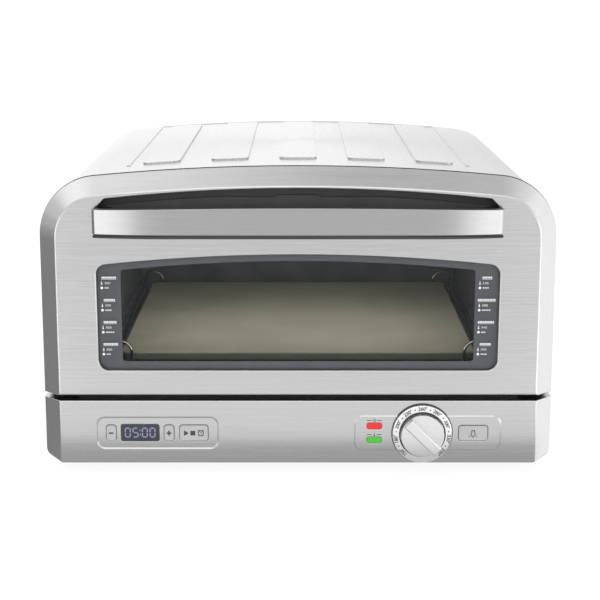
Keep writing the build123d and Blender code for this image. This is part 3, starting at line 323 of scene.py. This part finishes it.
# ---------------------------------------------------------------- printed border of the door glass
def arch_outline(half, bottom, crown, radius, corner):
    """Flat-bottomed arch with round corners: points in millimetres, counter-clockwise from the front."""
    def arch(x):
        return crown - x * x / (2 * radius)

    points = []
    arc_steps, arch_steps = 6, 24
    reach = half - corner
    for centre_x, centre_z, start in (
        (-reach, bottom + corner, 180),
        (reach, bottom + corner, 270),
        (reach, arch(reach) - corner, 0),
    ):
        for step in range(arc_steps + 1):
            turn = math.radians(start + 90 * step / arc_steps)
            points.append((centre_x + corner * math.cos(turn), centre_z + corner * math.sin(turn)))
    for step in range(1, arch_steps):
        x = reach - 2 * reach * step / arch_steps
        points.append((x, arch(x)))
    for step in range(arc_steps + 1):
        turn = math.radians(90 + 90 * step / arc_steps)
        points.append((-reach + corner * math.cos(turn), arch(reach) - corner + corner * math.sin(turn)))
    return points


def window_border():
    """Dark ceramic print on the back of the outer glass, open over the clear area."""
    outer = arch_outline(half=176.0, bottom=93.7, crown=201.5, radius=1580.0, corner=11.5)
    inner = arch_outline(half=153.0, bottom=103.4, crown=192.8, radius=1480.0, corner=2.5)
    near, far = GLASS_HIGH.y + 0.02 * MM, GLASS_HIGH.y + 0.08 * MM
    layers = [(outer, near), (outer, far), (inner, far), (inner, near)]
    count = len(outer)
    vertices = [(x * MM, y, z * MM) for outline, y in layers for x, z in outline]
    faces = []
    for layer in range(len(layers)):
        here, there = layer * count, (layer + 1) % len(layers) * count
        for i in range(count):
            j = (i + 1) % count
            faces.append((here + i, here + j, there + j, there + i))
    mesh = bpy.data.meshes.new("window_border")
    mesh.from_pydata(vertices, [], faces)
    mesh.validate()
    add_piece("window_border", mesh, "door", "frit_print")


# ---------------------------------------------------------------- printed marks
# Lit segments of each digit used here: a to f clockwise from the top, and g across the middle.
SEGMENTS = {
    "0": "abcdef",
    "2": "abged",
    "3": "abgcd",
    "4": "fgbc",
    "5": "afgcd",
    "6": "afgedc",
    "8": "abcdefg",
}


def digit(sheet, mark, u, v, wide, tall, stroke):
    """One seven-segment digit, centred on u, v."""
    half_w, half_t = (wide - stroke) / 2, (tall - stroke) / 2
    level = wide - 2.1 * stroke
    upright = half_t - stroke * 0.75
    places = {
        "a": (0, half_t, level, stroke),
        "g": (0, 0, level, stroke),
        "d": (0, -half_t, level, stroke),
        "f": (-half_w, half_t / 2, stroke, upright),
        "b": (half_w, half_t / 2, stroke, upright),
        "e": (-half_w, -half_t / 2, stroke, upright),
        "c": (half_w, -half_t / 2, stroke, upright),
    }
    for segment in SEGMENTS[mark]:
        du, dv, across, up = places[segment]
        sheet.bar(u + du, v + dv, across, up)


def clock(sheet, u, v, radius, stroke):
    """Alarm-clock outline with hands, two bells and two feet."""
    sheet.ring(u, v, radius, stroke)
    sheet.bar(u, v + radius * 0.3, stroke * 0.8, radius * 0.7)
    sheet.bar(u + radius * 0.22, v, radius * 0.6, stroke * 0.8)
    for side in (-1, 1):
        out = side * radius
        sheet.bar(u + out * 0.85, v + radius * 1.05, radius * 0.7, stroke, -side * math.radians(40))
        sheet.bar(u + out * 0.75, v - radius * 1.1, radius * 0.45, stroke, -side * math.radians(50))


def thermometer(sheet, u, v, tall, stroke):
    """A stem on a round bulb."""
    sheet.dot(u, v - tall * 0.3, stroke * 1.1, 12)
    sheet.bar(u, v + tall * 0.12, stroke, tall * 0.75)


def power_sign(sheet, u, v, radius, stroke, steps):
    """An open ring, with its gap at the top."""
    sheet.ring(u, v, radius, stroke, math.radians(125), math.radians(290), steps)


# Millimetres on the glass. A label is its temperature and the count of dashes in its heading.
LABEL_TOP, LABEL_PITCH, LABEL_X = 178.9, 19.7, 162.8
LABELS = (("350", 9), ("320", 7), ("300", 8), ("260", 9), ("230", 6), ("280", 11), ("240", 10), ("200", 7))
LABELS_A_SIDE = 4
DASH_PITCH, DASH_WIDE = 1.42, 0.98
DASH_HEIGHTS = (1.5, 1.75, 1.75)  # in turn along a heading
UNDERLINE_DROP, UNDERLINE_TALL = 1.5, 0.28
SIGN_LEFT = -6.2  # from the middle of a label to its thermometer and its dot
HEAT_DROP, TIME_DROP = 4.9, 9.1  # from the heading to the two rows under it
HEAT_START, HEAT_PITCH = 3.1, 1.75  # of the number's digits, from the thermometer
TIME_START, TIME_PITCH = 3.2, 1.9  # of the dashes, from the dot


def window_labels():
    """Four groups each side: a dashed heading, a thermometer with its number, and a dot with dashes."""
    sheet = Print("window_labels", 0, 0, GLASS_LOW.y, thick=0.03)
    for index, (heat, dashes) in enumerate(LABELS):
        side = -1 if index < LABELS_A_SIDE else 1
        centre, row = side * LABEL_X, LABEL_TOP - LABEL_PITCH * (index % LABELS_A_SIDE)
        left = centre + SIGN_LEFT
        start = centre - DASH_PITCH * (dashes - 1) / 2
        for dash in range(dashes):
            sheet.bar(start + DASH_PITCH * dash, row, DASH_WIDE, DASH_HEIGHTS[dash % len(DASH_HEIGHTS)])
        sheet.bar(centre, row - UNDERLINE_DROP, DASH_PITCH * dashes, UNDERLINE_TALL)
        thermometer(sheet, left, row - HEAT_DROP, tall=2.9, stroke=0.62)
        for place, mark in enumerate(heat):
            u = left + HEAT_START + HEAT_PITCH * place
            digit(sheet, mark, u, row - HEAT_DROP, wide=1.3, tall=1.9, stroke=0.36)
        sheet.dot(left, row - TIME_DROP, radius=1.15)
        for dash in range(2 + index % 3):
            sheet.bar(left + TIME_START + TIME_PITCH * dash, row - TIME_DROP, wide=1.35, tall=0.95)
    sheet.done("door", "white_print")


def centre_of(box):
    """Middle of a box as seen from the front."""
    return (box[0].x + box[1].x) / 2, (box[0].z + box[1].z) / 2


def key_mark(key):
    """An empty print sheet on the front of a key."""
    return Print(f"{key}_mark", *centre_of(KEY_BOX[key]), KEY_BOX[key][0].y)


def minus_mark():
    """One bar."""
    key_mark("minus").bar(0, 0, 4.0, 1.3).done("minus_key_body", "black_print")


def plus_mark():
    """A bar, with an upright in two halves."""
    sheet = key_mark("plus").bar(0, 0, 4.4, 1.3)
    for side in (1, -1):
        sheet.bar(0, side * 1.45, 1.3, 1.6)
    sheet.done("plus_key_body", "black_print")


def start_mark():
    """Play, stop and clock."""
    sheet = key_mark("start")
    sheet.shape([(-8.6, -2.6), (-4.6, 0), (-8.6, 2.6)])
    sheet.bar(-0.9, 0, 4.2, 4.2)
    clock(sheet, 6.2, 0, radius=2.3, stroke=0.75)
    sheet.done("start_key_body", "black_print")


def lamp_mark():
    """A hanging bulb with three rays."""
    sheet = key_mark("lamp")
    power_sign(sheet, 0, -0.9, radius=1.9, stroke=0.7, steps=16)
    for side in (-1, 1):
        sheet.bar(side * 1.15, 1.5, 0.7, 1.5)
        sheet.bar(side * 3.3, -2.9, 1.2, 0.6, side * math.radians(-45))
    sheet.bar(0, 2.6, 3.2, 0.7)
    sheet.bar(0, -4.0, 0.6, 1.0)
    sheet.done("lamp_key_body", "black_print")


DIGIT_PLACES = (-10.9, -4.1, 4.1, 10.9)
COLON_PLACES = (-1.7, 2.1)


def display_digits():
    """05:00 in seven segments."""
    sheet = Print("display_digits", *centre_of(SCREEN_BOX), SCREEN_BOX[0].y)
    for mark, u in zip("0500", DIGIT_PLACES):
        digit(sheet, mark, u, 0.2, wide=5.3, tall=9.2, stroke=1.05)
    for v in COLON_PLACES:
        sheet.bar(0, v, 1.0, 1.2)
    sheet.done("oven", "display_light")


LENS_MARK_RISE = 5.2 * MM


def lens_marks():
    """A power sign over the red lens and a thermometer over the green one, with a short dash each side."""
    for name in ("power", "ready"):
        x, z = centre_of(LENS_BOX[name])
        sheet = Print(f"{name}_mark", x, z + LENS_MARK_RISE, BEZEL_HIGH.y)
        if name == "power":
            power_sign(sheet, 0, 0, radius=1.15, stroke=0.5, steps=14)
            sheet.bar(0, 0.95, 0.5, 1.5)
        else:
            thermometer(sheet, 0, 0.1, tall=2.9, stroke=0.6)
        for side in (-1, 1):
            sheet.bar(side * 4.4, 0, 4.4, 0.62)
        sheet.done("oven", "black_print")


def flat_text(runs, name, y, body, slot):
    """One piece of short numbers facing -Y. A run is (text, size, x, z, turn), turned about its middle."""
    joined = bmesh.new()
    for text, size, x, z, turn in runs:
        curve = bpy.data.curves.new(name, "FONT")
        curve.body = text
        curve.size = size
        curve.extrude = 0.02 * MM
        curve.offset = 0.03 * size
        curve.align_x = "CENTER"
        curve.align_y = "CENTER"
        source = bpy.data.objects.new(name, curve)
        mesh = bpy.data.meshes.new_from_object(source)
        stand = Matrix.Rotation(math.radians(90), 4, "X")
        mesh.transform(Matrix.Translation((x, y, z)) @ Matrix.Rotation(turn, 4, "Y") @ stand)
        joined.from_mesh(mesh)
        bpy.data.objects.remove(source)
        bpy.data.meshes.remove(mesh)
    bmesh.ops.remove_doubles(joined, verts=joined.verts, dist=1e-7)
    add_bmesh(name, joined, body, slot)


DIAL_NUMBERS = ("150°", "180°", "200°", "230°", "260°", "280°", "300°", "330°", "370°")
DIAL_STEP = math.radians(33.5)
SCALE_R = 23.2  # of the numbers and dots, in millimetres
NUMBER_SIZE, DOT_R = 4.3, 0.62
# Name, plane, radius and width of the dark ring round the bezel and of the painted shadow ring round the
# knob.
DARK_RINGS = (("bezel_outline", BEZEL_HIGH.y, 26.75, 0.7), ("knob_shadow_ring", BEZEL_LOW.y, 20.0, 1.2))


def dial_scale():
    """Numbers and dots round the bezel, with a thin dark line at its two edges; the inner one, round the
    knob, is painted shadow.
    """
    x, z = centre_of((BEZEL_LOW, BEZEL_HIGH))
    middle = (len(DIAL_NUMBERS) - 1) / 2
    runs = []
    for index, number in enumerate(DIAL_NUMBERS):
        turn = (index - middle) * DIAL_STEP
        place = (x + SCALE_R * MM * math.sin(turn), z + SCALE_R * MM * math.cos(turn))
        runs.append((number, NUMBER_SIZE * MM, *place, turn))
    flat_text(runs, "dial_numbers", BEZEL_LOW.y - 0.02 * MM, "oven", "black_print")
    dots = Print("dial_dots", x, z, BEZEL_LOW.y)
    for index in range(len(DIAL_NUMBERS) - 1):
        turn = (index + 0.5 - middle) * DIAL_STEP
        dots.dot(SCALE_R * math.sin(turn), SCALE_R * math.cos(turn), DOT_R, 12)
    dots.done("oven", "black_print")
    for name, y, radius, wide in DARK_RINGS:
        Print(name, x, z, y, thick=0.3).ring(0, 0, radius, wide, steps=72).done("oven", "black_print")


# ---------------------------------------------------------------- floor, lights and camera
FLOOR_SIZE = 14
# Soft patches of the surround: middle, full and outer angle in degrees, change of brightness.
SKY_PATCHES = (
    ((1.0, 0.0, -0.15), 26, 56, 0.66),  # bright side on the right
    ((-0.6, -0.77, -0.2), 12, 25, 1.35),  # front left softbox
    ((0.6, -0.77, -0.2), 12, 25, 1.35),  # front right softbox
    ((-0.5, -0.15, 0.85), 16, 36, 0.72),  # high left softbox
    ((0.6, -0.2, 0.75), 14, 34, 0.3),  # high right softbox
    ((0.1, -0.15, 0.97), 14, 36, -0.28),  # dim ceiling
    ((0.0, -0.85, 0.53), 10, 26, 1.05),  # front header
    ((-0.08, 1.0, 0.3), 18, 46, 0.42),  # bright wall behind
    ((0.6, 0.72, 0.35), 16, 44, -0.4),  # dim corner behind on the right
)


def sky():
    """White studio surround, brighter and darker by direction."""
    world = bpy.data.worlds.new("studio")
    world.use_nodes = True
    tree = world.node_tree
    coords = tree.nodes.new("ShaderNodeTexCoord")
    total = None
    for middle, full, outer, change in SKY_PATCHES:
        dot = tree.nodes.new("ShaderNodeVectorMath")
        dot.operation = "DOT_PRODUCT"
        dot.inputs[1].default_value = Vector(middle).normalized()
        tree.links.new(coords.outputs["Generated"], dot.inputs[0])
        ease = tree.nodes.new("ShaderNodeMapRange")
        ease.interpolation_type = "SMOOTHSTEP"
        ease.inputs["From Min"].default_value = math.cos(math.radians(outer))
        ease.inputs["From Max"].default_value = math.cos(math.radians(full))
        ease.inputs["To Max"].default_value = change
        tree.links.new(dot.outputs["Value"], ease.inputs["Value"])
        add = tree.nodes.new("ShaderNodeMath")
        add.inputs[1].default_value = 1.0
        tree.links.new(ease.outputs["Result"], add.inputs[0])
        if total:
            tree.links.new(total, add.inputs[1])
        total = add.outputs["Value"]
    background = tree.nodes["Background"]
    background.inputs["Color"].default_value = (1, 1, 1, 1)
    tree.links.new(total, background.inputs["Strength"])
    bpy.context.scene.world = world


def card(name, middle, wide, deep, level, upright=False):
    """Glowing card seen only in reflections: flat on the floor, or upright and facing the oven's left."""
    bpy.ops.mesh.primitive_plane_add(size=1)
    made = bpy.context.object
    made.name = name
    made.scale = (wide, deep, 1)
    made.location = middle
    if upright:
        made.rotation_euler = (0, math.radians(90), 0)
    paint = bpy.data.materials.new(name)
    paint.use_nodes = True
    tree = paint.node_tree
    tree.nodes.remove(tree.nodes["Principled BSDF"])
    glow = tree.nodes.new("ShaderNodeEmission")
    glow.inputs["Strength"].default_value = level
    tree.links.new(glow.outputs["Emission"], tree.nodes["Material Output"].inputs["Surface"])
    made.data.materials.append(paint)
    for ray in ("camera", "diffuse", "transmission", "shadow"):
        setattr(made, f"visible_{ray}", False)


# Cards on the floor: name, distance in front of the face at the near and far edge, brightness.
FLOOR_CARDS = (
    ("near_card", 0.0, 0.09, 0.6),
    ("middle_card", 0.09, 0.17, 1.2),
    ("far_card", 0.17, 0.36, 1.2),
)
FLOOR_CARD_WIDE, CARD_LIFT = 0.6, 0.0005
# Upright cards on the oven's left: name, height of the middle, height, brightness.
SIDE_CARDS = (
    ("dark_side", -0.7, 1.4, 0.36),
    ("dusky_side", 0.1, 0.2, 0.52),
    ("grey_side", 0.35, 0.3, 0.75),
)
SIDE_CARD_X, SIDE_CARD_DEEP = -1.6, 2.6


def cards():
    """The cards that shade the base from top to bottom and darken the bevels on the left."""
    for name, near, far, level in FLOOR_CARDS:
        card(name, (0, FACE_Y - (near + far) / 2, CARD_LIFT), FLOOR_CARD_WIDE, far - near, level)
    for name, middle, tall, level in SIDE_CARDS:
        card(name, (SIDE_CARD_X, 0, middle), tall, SIDE_CARD_DEEP, level, upright=True)


def floor():
    """Pale floor that glows enough to look white, and that steel does not reflect."""
    bpy.ops.mesh.primitive_plane_add(size=FLOOR_SIZE, location=(0, 0, 0))
    plane = bpy.context.object
    plane.name = "floor"
    pale = Nodes("floor_pale").set(Base_Color=(0.2, 0.2, 0.2, 1), Roughness=0.9, Specular_IOR_Level=0.0)
    pale.set(Emission_Color=(1, 1, 1, 1), Emission_Strength=0.86)
    plane.data.materials.append(pale.material)
    plane.visible_glossy = False


CAMERA_BACK, CAMERA_HIGH = 1.1751, 0.435  # from the face, and over the floor
CAMERA_DOWN = math.radians(13.2)


def camera():
    """Long lens a little above the oven, looking down at its front."""
    data = bpy.data.cameras.new("camera")
    data.sensor_width = 36
    data.lens = 84
    data.shift_x = 1 / 300  # the oven stands a little left of the middle
    made = bpy.data.objects.new("camera", data)
    made.location = (0, FACE_Y - CAMERA_BACK, CAMERA_HIGH)
    made.rotation_euler = (math.radians(90) - CAMERA_DOWN, 0, 0)
    bpy.context.scene.collection.objects.link(made)
    bpy.context.scene.camera = made


CAVITY_LIGHT_IN, CAVITY_LIGHT_DROP = 0.13, 0.018  # from the cavity's front edge, and below its top
CAVITY_LIGHT_TILT = math.radians(22)


def cavity_light():
    """The oven's own light: a soft panel under the roof of the cavity."""
    data = bpy.data.lights.new("cavity_light", "AREA")
    data.shape = "RECTANGLE"
    data.size, data.size_y = 0.30, 0.20
    data.energy = 0.25
    light = bpy.data.objects.new("cavity_light", data)
    light.location = (0, CAVITY_LOW.y + CAVITY_LIGHT_IN, CAVITY_HIGH.z - CAVITY_LIGHT_DROP)
    light.rotation_euler = (CAVITY_LIGHT_TILT, 0, 0)
    light.visible_camera = False
    light.visible_glossy = False
    bpy.context.scene.collection.objects.link(light)


window_border()
window_labels()
minus_mark()
plus_mark()
start_mark()
lamp_mark()
display_digits()
lens_marks()
dial_scale()
floor()
sky()
cards()
camera()
cavity_light()
bpy.context.scene.view_settings.view_transform = "Standard"
